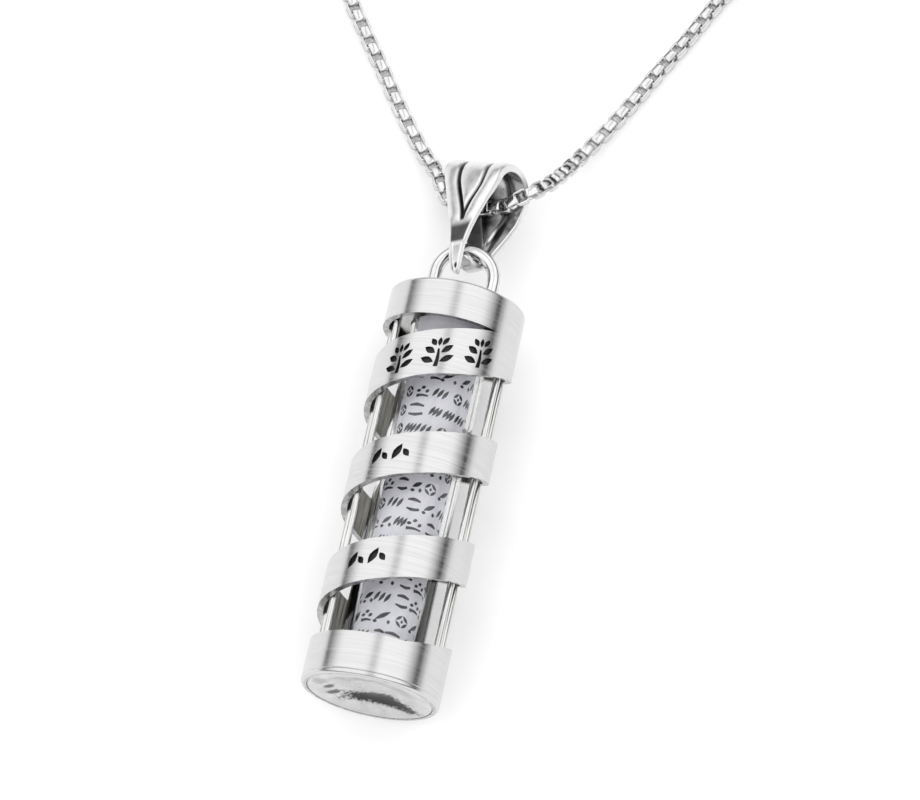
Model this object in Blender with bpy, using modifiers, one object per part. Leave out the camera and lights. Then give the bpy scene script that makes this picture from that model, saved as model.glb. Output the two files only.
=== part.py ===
"""Silver mezuzah pendant: a spiral-cut tube case around a glass vial, on a bail and box chain.

The pendant lies on its side on z = 0.  Its long axis is +Y, with the bail at the +Y end, and
+Z is up.  The origin is under the middle of the case and bail.  Units are metres.
"""

import math

import bmesh
import bpy
from mathutils import Matrix, Vector

MM = 0.001

# Case: a tube sawn along a helix, with a plain collar left at each end.
CASE_RADIUS = 5.0 * MM
CASE_WALL = 0.45 * MM
CASE_LENGTH = 30.4 * MM
CASE_END_Y = -21.4 * MM
BOTTOM_COLLAR = 3.15 * MM
TOP_COLLAR = 2.85 * MM
EDGE_CHAMFER = 0.15 * MM
BAND_PITCH = 7.95 * MM
BAND_HEIGHT = 3.16 * MM
BAND_MIDDLE_AT_ZERO = 9.0 * MM
SLOT_STEP = 7.5
TUBE_SIDES = 48

# Pieces inside and on the case.
FIT_GAP = 0.02 * MM
PLUG_RADIUS = CASE_RADIUS - CASE_WALL - FIT_GAP
PLUG_THICKNESS = 1.2 * MM
PLUG_RIM = 0.75 * MM
DISH_DEPTH = 0.5 * MM
TOP_PLATE_THICKNESS = 0.8 * MM
SEAT_RADIUS = 3.95 * MM
SEAT_HEIGHT = 1.4 * MM
VIAL_RADIUS = 3.0 * MM
VIAL_WALL = 0.4 * MM
SCROLL_RADIUS = 2.55 * MM
SCROLL_SHEET = 0.12 * MM
SCROLL_PITCH = 0.25 * MM
SCROLL_TURNS = 3.0
STRUT_RADIUS = 0.25 * MM
STRUT_CIRCLE = CASE_RADIUS - CASE_WALL - STRUT_RADIUS - FIT_GAP
STRUT_ANGLES = (-93.0, -64.0, 70.0, 102.0)
STRUT_END_GAP = 0.2 * MM

# Hanging loop: a half ring with two straight legs soldered on the top plate.
LOOP_WIRE = 0.525 * MM
LOOP_RADIUS = 2.12 * MM
LOOP_CENTRE = 2.2 * MM

# Bail: a folded silver strip, turned about the case's axis and leaning down to the table.
BAIL_YAW = 35.0
BAIL_DROOP = 13.0
BAIL_STRIP = 0.45 * MM
BAIL_TOP_CENTRE = 5.8 * MM
BAIL_TOP_RADIUS = 1.85 * MM
BAIL_EYE_DEPTH = 1.2 * MM
BAIL_EYE_HALF = 1.55 * MM

# Box chain, its clasp and the coil in which its spare length lies.
CHAIN_RADIUS = 0.55 * MM
CHAIN_POINT_SPACING = 2.2 * MM
COIL_CENTRE = Vector((-1.0, 58.0)) * MM
COIL_OUTER_TURN = 9.2 * MM
COIL_INNER_TURN = 4.1 * MM
COIL_HEIGHT = 2.2 * MM
CAP_RADIUS = 0.8 * MM
CAP_LENGTH = 2.6 * MM
CLASP_RADIUS = 2.45 * MM
CLASP_TUBE = 0.55 * MM
CLASP_BORE = 0.38 * MM
BOLT_RADIUS = 0.33 * MM
CATCH_RADIUS = 1.6 * MM
CATCH_WIRE = 0.4 * MM

# The chain's route over the table, in millimetres, from inside the bail to each end.
LEFT_ROUTE = (
    (-0.3, 17.5, 2.98), (-1.4, 17.55, 2.5), (-2.4, 17.9, 2.3), (-3.15, 18.8, 2.05),
    (-3.75, 19.85, 1.7), (-4.3, 20.7, 1.35), (-4.85, 21.35, 1.0), (-5.95, 22.7, 0.65),
    (-7.9, 25.3, 0.6), (-9.8, 28.05, 0.6), (-11.8, 30.9, 0.6), (-13.55, 33.5, 0.6),
    (-14.8, 36.0, 0.6), (-15.4, 38.6, 0.6), (-15.6, 41.4, 0.65), (-15.5, 43.6, 0.75),
    (-15.5, 45.4, 0.8),
)
RIGHT_ROUTE = (
    (0.1, 17.5, 3.25), (1.0, 17.57, 3.75), (1.9, 17.8, 4.2), (2.7, 18.35, 4.65),
    (3.6, 19.1, 4.6), (4.5, 20.25, 3.85), (5.35, 22.0, 2.5), (6.4, 24.25, 1.3),
    (7.75, 26.85, 0.7), (9.15, 29.5, 0.6), (10.55, 32.3, 0.6), (12.05, 35.15, 0.6),
    (13.75, 38.7, 0.6), (15.35, 41.5, 0.6), (16.5, 44.2, 0.6), (16.2, 46.9, 0.6),
    (14.3, 48.6, 0.6), (11.6, 48.9, 0.6), (8.8, 48.8, 0.6), (6.9, 48.8, 0.6), (4.9, 48.8, 0.6),
)
TAIL_ROUTE = (
    (4.9, 67.2, 0.7), (6.6, 67.2, 0.75), (8.3, 67.2, 0.8),
)
LEFT_CAP_START = Vector((-15.5, 45.7, 0.8)) * MM
RIGHT_CAP_START = Vector((8.6, 67.2, 0.8)) * MM


def clear_scene():
    """Remove every object so that the script gives the same model each time."""
    for obj in list(bpy.data.objects):
        bpy.data.objects.remove(obj, do_unlink=True)


def make_material(name, colour, roughness, metallic, transmission=0.0):
    """Return a Principled material for one piece."""
    material = bpy.data.materials.new(name)
    material.use_nodes = True
    shader = material.node_tree.nodes["Principled BSDF"]
    shader.inputs["Base Color"].default_value = (*colour, 1.0)
    shader.inputs["Roughness"].default_value = roughness
    shader.inputs["Metallic"].default_value = metallic
    shader.inputs["Transmission Weight"].default_value = transmission
    return material


def add_object(name, data, collection, colour, roughness, metallic, parent=None, transmission=0.0):
    """Make a named object with its own material and put it in a collection."""
    obj = bpy.data.objects.new(name, data)
    collection.objects.link(obj)
    obj.data.materials.append(make_material(name + "_material", colour, roughness, metallic, transmission))
    obj.parent = parent
    return obj


def smooth(obj, angle=35.0):
    """Shade the round faces smooth and keep corners sharp."""
    obj.data.shade_smooth()
    obj.data.set_sharp_from_angle(angle=math.radians(angle))


def profile_mesh(name, points, closed):
    """Return a mesh of edges in the XZ plane, for a Screw modifier to turn."""
    mesh = bpy.data.meshes.new(name)
    bm = bmesh.new()
    verts = [bm.verts.new((radius, 0.0, height)) for radius, height in points]
    for start, end in zip(verts, verts[1:]):
        bm.edges.new((start, end))
    if closed:
        bm.edges.new((verts[-1], verts[0]))
    bm.to_mesh(mesh)
    bm.free()
    return mesh


def add_turning(obj, sides):
    """Turn an object's profile once about its own Z axis."""
    screw = obj.modifiers.new("Turn", "SCREW")
    screw.axis = "Z"
    screw.angle = 2.0 * math.pi
    screw.steps = sides
    screw.render_steps = sides
    screw.use_merge_vertices = True
    screw.merge_threshold = 1e-7
    screw.use_smooth_shade = True


def loft_mesh(name, sections, join_ends=False):
    """Skin a list of equal point loops into one closed mesh."""
    mesh = bpy.data.meshes.new(name)
    bm = bmesh.new()
    rings = [[bm.verts.new(point) for point in section] for section in sections]
    count = len(rings[0])
    pairs = list(zip(rings, rings[1:]))
    if join_ends:
        pairs.append((rings[-1], rings[0]))
    for lower, upper in pairs:
        for index in range(count):
            following = (index + 1) % count
            bm.faces.new((lower[index], lower[following], upper[following], upper[index]))
    if not join_ends:
        bm.faces.new(list(reversed(rings[0])))
        bm.faces.new(rings[-1])
    bmesh.ops.recalc_face_normals(bm, faces=bm.faces)
    bm.to_mesh(mesh)
    bm.free()
    return mesh


def smooth_route(points, spacing):
    """Return points at even spacing along a smooth curve through a route in millimetres."""
    knots = [Vector(point) * MM for point in points]
    knots = [2.0 * knots[0] - knots[1]] + knots + [2.0 * knots[-1] - knots[-2]]
    fine = []
    for index in range(1, len(knots) - 2):
        before, start, end, after = knots[index - 1:index + 3]
        for step in range(20):
            t = step / 20.0
            fine.append(0.5 * (2.0 * start + (end - before) * t
                               + (2.0 * before - 5.0 * start + 4.0 * end - after) * t ** 2
                               + (3.0 * start - before - 3.0 * end + after) * t ** 3))
    fine.append(knots[-2])
    lengths = [0.0]
    for start, end in zip(fine, fine[1:]):
        lengths.append(lengths[-1] + (end - start).length)
    count = max(2, round(lengths[-1] / spacing))
    route = []
    cursor = 0
    for index in range(count + 1):
        target = lengths[-1] * index / count
        while cursor < len(lengths) - 2 and lengths[cursor + 1] < target:
            cursor += 1
        share = (target - lengths[cursor]) / (lengths[cursor + 1] - lengths[cursor])
        route.append(fine[cursor].lerp(fine[cursor + 1], min(share, 1.0)))
    return route


def wire_curve(name, points, radius, resolution=2):
    """Return a round wire with filled caps along straight stretches between points."""
    curve = bpy.data.curves.new(name, "CURVE")
    curve.dimensions = "3D"
    curve.bevel_depth = radius
    curve.bevel_resolution = resolution
    curve.use_fill_caps = True
    spline = curve.splines.new("POLY")
    spline.points.add(len(points) - 1)
    for spline_point, point in zip(spline.points, points):
        spline_point.co = (*point, 1.0)
    return curve


def arc_points(radius, start, end, steps):
    """Return points on an arc about the origin in the XY plane, angles in degrees."""
    angles = [math.radians(start + (end - start) * index / steps) for index in range(steps + 1)]
    return [Vector((radius * math.cos(angle), radius * math.sin(angle), 0.0)) for angle in angles]


def curve_to_mesh(obj):
    """Turn a curve object into a welded mesh object with the same name and place."""
    evaluated = obj.evaluated_get(bpy.context.evaluated_depsgraph_get())
    mesh = bpy.data.meshes.new_from_object(evaluated)
    bm = bmesh.new()
    bm.from_mesh(mesh)
    bmesh.ops.remove_doubles(bm, verts=bm.verts, dist=1e-7)
    bmesh.ops.recalc_face_normals(bm, faces=bm.faces)
    bm.to_mesh(mesh)
    bm.free()
    name = obj.name
    place = obj.matrix_world.copy()
    collections = list(obj.users_collection)
    parent = obj.parent
    bpy.data.objects.remove(obj, do_unlink=True)
    result = bpy.data.objects.new(name, mesh)
    for collection in collections:
        collection.objects.link(result)
    result.parent = parent
    result.matrix_world = place
    return result


def hide_cutter(obj):
    """Mark an object as a cutter that isn't part of the model."""
    obj.hide_render = True
    obj.display_type = "WIRE"


def add_boolean(obj, cutter, operation):
    """Cut or join an object with another one."""
    boolean = obj.modifiers.new("Boolean", "BOOLEAN")
    boolean.operation = operation
    boolean.object = cutter
    boolean.solver = "EXACT"


def case_shell(parts, cutters, case):
    """Make the tube with its helical slot, so that a band winds between two collars."""
    inner = CASE_RADIUS - CASE_WALL
    outline = (
        (CASE_RADIUS - EDGE_CHAMFER, CASE_LENGTH), (CASE_RADIUS, CASE_LENGTH - EDGE_CHAMFER),
        (CASE_RADIUS, EDGE_CHAMFER), (CASE_RADIUS - EDGE_CHAMFER, 0.0),
        (inner, 0.0), (inner, CASE_LENGTH),
    )
    mesh = profile_mesh("spiral_shell", outline, closed=True)
    shell = add_object("spiral_shell", mesh, parts, (0.86, 0.86, 0.85), 0.25, 1.0, case)
    add_turning(shell, TUBE_SIDES)

    slot_half = (BAND_PITCH - BAND_HEIGHT) / 2.0
    ceiling = CASE_LENGTH - TOP_COLLAR
    least = 0.06 * MM
    sections = []
    for step in range(-76, 106):
        angle = (step + 0.5) * SLOT_STEP
        middle = BAND_MIDDLE_AT_ZERO + BAND_PITCH * (0.5 + angle / 360.0)
        low = max(middle - slot_half, BOTTOM_COLLAR)
        high = min(middle + slot_half, ceiling)
        if high - low < least:
            continue
        local = math.radians(angle - 90.0)
        out = Vector((math.cos(local), math.sin(local), 0.0))
        near = out * (inner - 0.6 * MM)
        far = out * (CASE_RADIUS + 0.6 * MM)
        sections.append([near + Vector((0, 0, low)), far + Vector((0, 0, low)),
                         far + Vector((0, 0, high)), near + Vector((0, 0, high))])
    cutter = bpy.data.objects.new("slot_cutter", loft_mesh("slot_cutter", sections))
    cutters.objects.link(cutter)
    cutter.parent = case
    hide_cutter(cutter)
    add_boolean(shell, cutter, "DIFFERENCE")


def top_plate(parts, case):
    """Make the disc that closes the top collar."""
    top = CASE_LENGTH - FIT_GAP
    bottom = CASE_LENGTH - TOP_PLATE_THICKNESS
    outline = ((0.0, top), (PLUG_RADIUS, top), (PLUG_RADIUS, bottom), (0.0, bottom))
    mesh = profile_mesh("top_plate", outline, closed=False)
    plate = add_object("top_plate", mesh, parts, (0.85, 0.85, 0.84), 0.3, 1.0, case)
    add_turning(plate, TUBE_SIDES)


def hanging_loop(parts, case):
    """Make the half ring on the top plate, in the plane that lies parallel to the table."""
    foot = CASE_LENGTH
    centre = CASE_LENGTH + LOOP_CENTRE
    arc = arc_points(LOOP_RADIUS, 0.0, 180.0, 20)
    points = [Vector((LOOP_RADIUS, 0.0, foot))]
    points += [Vector((point.x, 0.0, centre + point.y)) for point in arc]
    points += [Vector((-LOOP_RADIUS, 0.0, foot))]
    curve = wire_curve("hanging_loop", points, LOOP_WIRE, 3)
    add_object("hanging_loop", curve, parts, (0.88, 0.88, 0.87), 0.15, 1.0, case)


def struts(parts, case):
    """Make the straight wires that tie the turns of the band together from inside."""
    low = PLUG_THICKNESS + STRUT_END_GAP
    high = CASE_LENGTH - TOP_PLATE_THICKNESS - STRUT_END_GAP
    for number, angle in enumerate(STRUT_ANGLES, start=1):
        local = math.radians(angle - 90.0)
        bm = bmesh.new()
        bmesh.ops.create_cone(bm, cap_ends=True, segments=12, radius1=STRUT_RADIUS,
                              radius2=STRUT_RADIUS, depth=high - low)
        name = f"strut_{number}"
        mesh = bpy.data.meshes.new(name)
        bm.to_mesh(mesh)
        bm.free()
        strut = add_object(name, mesh, parts, (0.84, 0.84, 0.83), 0.2, 1.0, case)
        strut.location = (STRUT_CIRCLE * math.cos(local), STRUT_CIRCLE * math.sin(local),
                          (low + high) / 2.0)
        smooth(strut)


def seat_ring(name, bottom, parts, parent):
    """Make a ring that centres one end of the vial in the case."""
    bore = VIAL_RADIUS + FIT_GAP
    top = bottom + SEAT_HEIGHT
    outline = ((SEAT_RADIUS, top), (SEAT_RADIUS, bottom), (bore, bottom), (bore, top))
    ring = add_object(name, profile_mesh(name, outline, closed=True), parts,
                      (0.8, 0.8, 0.79), 0.35, 1.0, parent)
    add_turning(ring, 36)


def end_plug(parts, plug):
    """Make the disc in the bottom collar, with a flat rim around a shallow dish."""
    rim = PLUG_RADIUS - PLUG_RIM
    outline = [(0.0, PLUG_THICKNESS), (PLUG_RADIUS, PLUG_THICKNESS), (PLUG_RADIUS, FIT_GAP),
               (rim, FIT_GAP)]
    for step in range(1, 7):
        share = step / 6.0
        outline.append((rim * (1.0 - share), DISH_DEPTH * math.sin(math.pi / 2.0 * share) + FIT_GAP))
    disc = add_object("end_plug", profile_mesh("end_plug", outline, closed=False), parts,
                      (0.87, 0.87, 0.86), 0.12, 1.0, plug)
    add_turning(disc, TUBE_SIDES)


def vial_and_scroll(parts, plug):
    """Make the open glass tube and the rolled sheet inside it."""
    low = PLUG_THICKNESS + FIT_GAP
    high = CASE_LENGTH - TOP_PLATE_THICKNESS - FIT_GAP
    bore = VIAL_RADIUS - VIAL_WALL
    outline = ((VIAL_RADIUS, high), (VIAL_RADIUS, low), (bore, low), (bore, high))
    vial = add_object("glass_vial", profile_mesh("glass_vial", outline, closed=True), parts,
                      (0.95, 0.97, 0.97), 0.03, 0.0, plug, transmission=1.0)
    add_turning(vial, 36)

    sheet_low = low + 0.3 * MM
    sheet_high = high - 0.3 * MM
    steps = round(SCROLL_TURNS * 24)
    outside = []
    inside = []
    for index in range(steps + 1):
        angle = math.radians(15.0 * index + 200.0)
        radius = SCROLL_RADIUS - SCROLL_PITCH * index / 24.0
        direction = Vector((math.cos(angle), math.sin(angle), 0.0))
        outside.append(direction * radius)
        inside.append(direction * (radius - SCROLL_SHEET))
    loop = outside + list(reversed(inside))
    sections = [[point + Vector((0, 0, height)) for point in loop] for height in (sheet_low, sheet_high)]
    mesh = bpy.data.meshes.new("scroll")
    bm = bmesh.new()
    rings = [[bm.verts.new(point) for point in section] for section in sections]
    count = len(loop)
    for index in range(count):
        following = (index + 1) % count
        bm.faces.new((rings[0][index], rings[0][following], rings[1][following], rings[1][index]))
    for ring in rings:
        for index in range(steps):
            bm.faces.new((ring[index], ring[index + 1], ring[count - 2 - index], ring[count - 1 - index]))
    bmesh.ops.recalc_face_normals(bm, faces=bm.faces)
    bm.to_mesh(mesh)
    bm.free()
    scroll = add_object("scroll", mesh, parts, (0.78, 0.77, 0.82), 0.7, 0.0, plug)
    smooth(scroll)


def bail_path():
    """Return the strip's middle line as (along, outward, width) from the front tip to the eye."""
    front = ((-2.7, 0.95, 0.35), (-2.1, 1.2, 0.8), (-1.3, 1.44, 1.1), (-0.4, 1.57, 1.3),
             (0.6, 1.61, 1.7), (1.6, 1.64, 2.25), (2.6, 1.69, 2.95), (3.6, 1.76, 3.65),
             (4.6, 1.82, 4.4), (5.3, 1.86, 4.9))
    back = ((5.3, -1.86, 5.0), (4.6, -1.82, 4.5), (3.6, -1.76, 3.8), (2.6, -1.69, 3.1),
            (1.6, -1.64, 2.4), (0.8, -1.6, 1.8), (0.2, -1.56, 1.45))
    path = [(along * MM, outward * MM, width * MM) for along, outward, width in front]
    for step in range(13):
        turn = math.radians(15.0 * step)
        width = 5.2 * MM + 0.5 * MM * math.sin(turn)
        path.append((BAIL_TOP_CENTRE + BAIL_TOP_RADIUS * math.sin(turn),
                     BAIL_TOP_RADIUS * math.cos(turn), width))
    path += [(along * MM, outward * MM, width * MM) for along, outward, width in back]
    for step in range(9):
        turn = math.radians(-80.0 + 15.0 * step)
        path.append((-BAIL_EYE_DEPTH * math.cos(turn), BAIL_EYE_HALF * math.sin(turn), 1.25 * MM))
    return path


def bail(parts, frame):
    """Make the folded strip: a leaf in front, a round top, a back and an eye under the loop."""
    path = bail_path()
    sections = []
    for index, (along, outward, width) in enumerate(path):
        before = path[max(index - 1, 0)]
        after = path[min(index + 1, len(path) - 1)]
        tangent = Vector((after[0] - before[0], after[1] - before[1])).normalized()
        normal = Vector((-tangent.y, tangent.x)) * (BAIL_STRIP / 2.0)
        half = width / 2.0
        edge = min(0.1 * MM, half / 3.0)
        outline = ((-half, 0.45), (-half + edge, 1.0), (half - edge, 1.0), (half, 0.45),
                   (half, -0.45), (half - edge, -1.0), (-half + edge, -1.0), (-half, -0.45))
        sections.append([Vector((side, along + normal.x * level, outward + normal.y * level))
                         for side, level in outline])
    leaf = add_object("bail", loft_mesh("bail", sections), parts, (0.87, 0.87, 0.86), 0.15, 1.0, frame)
    smooth(leaf)


def chain_tube(name, route, parts):
    """Make the plain tube that stands for one run of box chain."""
    points = smooth_route(route, CHAIN_POINT_SPACING)
    add_object(name, wire_curve(name, points, CHAIN_RADIUS), parts, (0.8, 0.8, 0.8), 0.3, 1.0)


def chain_coil(parts):
    """Make the ring that the coiled length of chain fills."""
    low = 0.05 * MM
    inner = COIL_INNER_TURN - CHAIN_RADIUS
    outer = COIL_OUTER_TURN + CHAIN_RADIUS
    outline = ((outer - 0.6 * MM, COIL_HEIGHT), (outer, 0.6 * COIL_HEIGHT), (outer, low),
               (inner, low), (inner, COIL_HEIGHT))
    coil = add_object("chain_coil", profile_mesh("chain_coil", outline, closed=True), parts,
                      (0.8, 0.8, 0.8), 0.3, 1.0)
    coil.location = (COIL_CENTRE.x, COIL_CENTRE.y, 0.0)
    add_turning(coil, 40)


def end_cap(name, start, turn, parts):
    """Make the crimped cap on an end of the chain, from its open end along its own Z."""
    outline = ((0.0, CAP_LENGTH), (0.45 * MM, CAP_LENGTH), (CAP_RADIUS, CAP_LENGTH - 0.35 * MM),
               (CAP_RADIUS, 0.1 * MM), (CAP_RADIUS - 0.1 * MM, 0.0), (0.0, 0.0))
    cap = add_object(name, profile_mesh(name, outline, closed=False), parts,
                     (0.85, 0.85, 0.84), 0.2, 1.0)
    heading = Matrix.Rotation(turn, 4, "Z") @ Matrix.Rotation(-math.pi / 2.0, 4, "X")
    cap.matrix_world = Matrix.Translation(start) @ heading
    add_turning(cap, 20)


def spring_ring(parts, cutters, centre):
    """Make the clasp: a hollow ring with a gap, the bolt that closes it and its spring."""
    pivot = bpy.data.objects.new("clasp_frame", None)
    parts.objects.link(pivot)
    pivot.location = centre

    ring = add_object("clasp_ring", wire_curve("clasp_ring", arc_points(CLASP_RADIUS, 60, 370, 44),
                      CLASP_TUBE, 3), parts, (0.85, 0.85, 0.84), 0.2, 1.0, pivot)
    bore = add_object("clasp_bore", wire_curve("clasp_bore", arc_points(CLASP_RADIUS, 50, 380, 48),
                      CLASP_BORE, 3), cutters, (0.5, 0.5, 0.5), 0.5, 0.0, pivot)
    bolt = add_object("clasp_bolt", wire_curve("clasp_bolt", arc_points(CLASP_RADIUS, 14, 114, 16),
                      BOLT_RADIUS, 2), parts, (0.85, 0.85, 0.84), 0.2, 1.0, pivot)
    bpy.context.view_layer.update()
    ring_mesh = curve_to_mesh(ring)
    bore_mesh = curve_to_mesh(bore)
    bolt_mesh = curve_to_mesh(bolt)
    ring_mesh.data.materials.append(make_material("clasp_ring_metal", (0.85, 0.85, 0.84), 0.2, 1.0))
    bolt_mesh.data.materials.append(make_material("clasp_bolt_metal", (0.85, 0.85, 0.84), 0.2, 1.0))
    hide_cutter(bore_mesh)

    slot_sections = []
    for index in range(13):
        angle = math.radians(68.0 + 4.2 * index)
        out = Vector((math.cos(angle), math.sin(angle), 0.0))
        near = out * CLASP_RADIUS
        far = out * (CLASP_RADIUS + 1.0 * MM)
        lift = Vector((0.0, 0.0, 0.24 * MM))
        slot_sections.append([near - lift, far - lift, far + lift, near + lift])
    slot = bpy.data.objects.new("clasp_slot", loft_mesh("clasp_slot", slot_sections))
    cutters.objects.link(slot)
    slot.parent = pivot
    hide_cutter(slot)
    add_boolean(ring_mesh, bore_mesh, "DIFFERENCE")
    add_boolean(ring_mesh, slot, "DIFFERENCE")

    knob_mesh = bpy.data.meshes.new("clasp_knob")
    bm = bmesh.new()
    bmesh.ops.create_cone(bm, cap_ends=True, segments=10, radius1=0.16 * MM, radius2=0.2 * MM,
                          depth=1.0 * MM)
    bm.to_mesh(knob_mesh)
    bm.free()
    knob = bpy.data.objects.new("clasp_knob", knob_mesh)
    cutters.objects.link(knob)
    knob.parent = pivot
    angle = math.radians(76.0)
    reach = CLASP_RADIUS + 0.62 * MM
    knob.location = (reach * math.cos(angle), reach * math.sin(angle), 0.0)
    knob.rotation_euler = (0.0, math.pi / 2.0, angle)
    hide_cutter(knob)
    add_boolean(bolt_mesh, knob, "UNION")

    coil_points = []
    for index in range(57):
        around = math.radians(45.0 * index)
        angle = math.radians(160.0 + 35.0 * index / 56.0)
        radius = CLASP_RADIUS + 0.24 * MM * math.cos(around)
        coil_points.append(Vector((radius * math.cos(angle), radius * math.sin(angle),
                                   0.24 * MM * math.sin(around))))
    add_object("clasp_spring", wire_curve("clasp_spring", coil_points, 0.06 * MM, 0), parts,
               (0.6, 0.6, 0.62), 0.3, 1.0, pivot)


def catch_ring(parts, centre):
    """Make the plain ring that the clasp takes hold of."""
    points = arc_points(CATCH_RADIUS, 0.0, 360.0, 28)
    sections = []
    for point in points[:-1]:
        out = point.normalized()
        sections.append([point + out * (CATCH_WIRE * math.cos(turn * math.pi / 4.0))
                         + Vector((0.0, 0.0, CATCH_WIRE * math.sin(turn * math.pi / 4.0)))
                         for turn in range(8)])
    ring = add_object("catch_ring", loft_mesh("catch_ring", sections, join_ends=True), parts,
                      (0.85, 0.85, 0.84), 0.2, 1.0)
    ring.location = centre
    smooth(ring, 60.0)


def build():
    """Build the pendant, its chain and its clasp."""
    clear_scene()
    parts = bpy.data.collections.new("mezuzah_pendant")
    cutters = bpy.data.collections.new("cutters")
    bpy.context.scene.collection.children.link(parts)
    bpy.context.scene.collection.children.link(cutters)

    case = bpy.data.objects.new("case_frame", None)
    parts.objects.link(case)
    case.location = (0.0, CASE_END_Y, CASE_RADIUS)
    case.rotation_euler = (-math.pi / 2.0, 0.0, 0.0)
    plug = bpy.data.objects.new("plug_frame", None)
    parts.objects.link(plug)
    plug.parent = case

    case_shell(parts, cutters, case)
    top_plate(parts, case)
    hanging_loop(parts, case)
    struts(parts, case)
    seat_ring("upper_seat", CASE_LENGTH - TOP_PLATE_THICKNESS - FIT_GAP - SEAT_HEIGHT, parts, case)
    end_plug(parts, plug)
    seat_ring("lower_seat", PLUG_THICKNESS + FIT_GAP, parts, plug)
    vial_and_scroll(parts, plug)

    apex = Vector((0.0, CASE_END_Y + CASE_LENGTH + LOOP_CENTRE + LOOP_RADIUS, CASE_RADIUS))
    bail_frame = bpy.data.objects.new("bail_frame", None)
    parts.objects.link(bail_frame)
    bail_frame.matrix_world = (Matrix.Translation(apex)
                               @ Matrix.Rotation(math.radians(-BAIL_DROOP), 4, "X")
                               @ Matrix.Rotation(math.radians(-BAIL_YAW), 4, "Y"))
    bail(parts, bail_frame)

    chain_tube("chain_left", LEFT_ROUTE, parts)
    chain_tube("chain_right", RIGHT_ROUTE, parts)
    chain_tube("chain_tail", TAIL_ROUTE, parts)
    chain_coil(parts)
    end_cap("end_cap_left", LEFT_CAP_START, 0.0, parts)
    end_cap("end_cap_right", RIGHT_CAP_START, -math.pi / 2.0, parts)
    clasp_centre = LEFT_CAP_START + Vector((0.0, CAP_LENGTH + CLASP_RADIUS + CLASP_TUBE + FIT_GAP, 0.0))
    spring_ring(parts, cutters, clasp_centre)
    catch_centre = RIGHT_CAP_START + Vector((CAP_LENGTH + CATCH_RADIUS + CATCH_WIRE + FIT_GAP, 0.0, 0.0))
    catch_ring(parts, catch_centre)


build()
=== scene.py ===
"""Looks of the silver mezuzah pendant: spiral-cut case, glass vial, bail and box chain."""

import math
import random

import bmesh
import bpy
import numpy as np
from mathutils import Matrix, Vector, noise


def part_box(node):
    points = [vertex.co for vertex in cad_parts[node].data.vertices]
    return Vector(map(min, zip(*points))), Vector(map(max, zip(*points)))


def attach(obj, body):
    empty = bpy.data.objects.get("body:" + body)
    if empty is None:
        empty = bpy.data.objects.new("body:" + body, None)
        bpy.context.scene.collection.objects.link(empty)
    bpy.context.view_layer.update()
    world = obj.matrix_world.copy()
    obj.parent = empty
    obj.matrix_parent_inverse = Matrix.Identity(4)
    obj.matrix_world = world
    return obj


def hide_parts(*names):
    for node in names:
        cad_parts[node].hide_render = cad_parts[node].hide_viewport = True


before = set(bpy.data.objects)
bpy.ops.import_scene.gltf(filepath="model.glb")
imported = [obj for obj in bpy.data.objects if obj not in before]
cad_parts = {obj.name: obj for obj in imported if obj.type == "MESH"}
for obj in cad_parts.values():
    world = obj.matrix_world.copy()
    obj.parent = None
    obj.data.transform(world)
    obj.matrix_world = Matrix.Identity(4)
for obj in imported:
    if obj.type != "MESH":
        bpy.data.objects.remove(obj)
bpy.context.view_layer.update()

MM = 0.001

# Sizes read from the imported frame.
SHELL_LOW, SHELL_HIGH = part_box("spiral_shell")
CASE_RADIUS = (SHELL_HIGH.x - SHELL_LOW.x) / 2.0
CASE_LENGTH = SHELL_HIGH.y - SHELL_LOW.y
CASE_MIDDLE = (SHELL_LOW + SHELL_HIGH) / 2.0
CASE_FRAME = (Matrix.Translation((CASE_MIDDLE.x, SHELL_LOW.y, CASE_MIDDLE.z))
              @ Matrix.Rotation(-math.pi / 2.0, 4, "X"))

# The case: the same driving sizes as the part.
CASE_WALL = 0.45 * MM
BOTTOM_COLLAR = 3.15 * MM
TOP_COLLAR = 2.85 * MM
BAND_PITCH = 7.95 * MM
BAND_HEIGHT = 3.16 * MM
BAND_MIDDLE_AT_ZERO = 9.0 * MM
COLUMN_STEP = 1.5
END_ROUNDING = 0.22 * MM
EDGE_ROUNDING = 0.06 * MM
SEAM_HEIGHT = 0.36 * MM
SEAM_GROOVE = 0.045 * MM
ENGRAVING_DEPTH = 0.22 * MM
SPRIG_ANGLES = (684.0, 717.0, 752.0)
BUD_ANGLES = (-34.0, -16.0, 326.0, 344.0)
SKIN_TOLERANCE = 0.003 * MM

# The dish in the end plug: its depth, and its dark marks as (x, y, wide, tall, strength) in mm: first
# a painted dark reflection across the bowl, then spots.
DISH_DEPTH = 0.62 * MM
DISH_PAINTED_REFLECTION_AND_SPOTS = (
    (0.7, 1.7, 2.7, 0.95, 0.97), (-3.0, 0.3, 0.4, 0.4, 0.85), (-2.7, 1.4, 0.45, 0.35, 0.8),
    (-3.6, -1.2, 0.5, 0.9, 0.35),
)

# Turns of the chain's coil, first inward and then outward.
TURNS_IN = 4.5
TURNS_OUT = 4.0

# The vial's wall, and the height of its fire-rounded lip.
VIAL_WALL = 0.4 * MM
VIAL_LIP = 0.12 * MM

# The rolled sheet: its free edge's angle, thickness, turn-to-turn pitch and rows of marks.
SCROLL_EDGE = 175.0
SCROLL_SHEET = 0.1 * MM
SCROLL_PITCH = 0.13 * MM
SCROLL_ROW_PITCH = 1.43 * MM
SCROLL_MARGIN = 0.9 * MM
SCROLL_BLANK = 4.6 * MM

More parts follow.
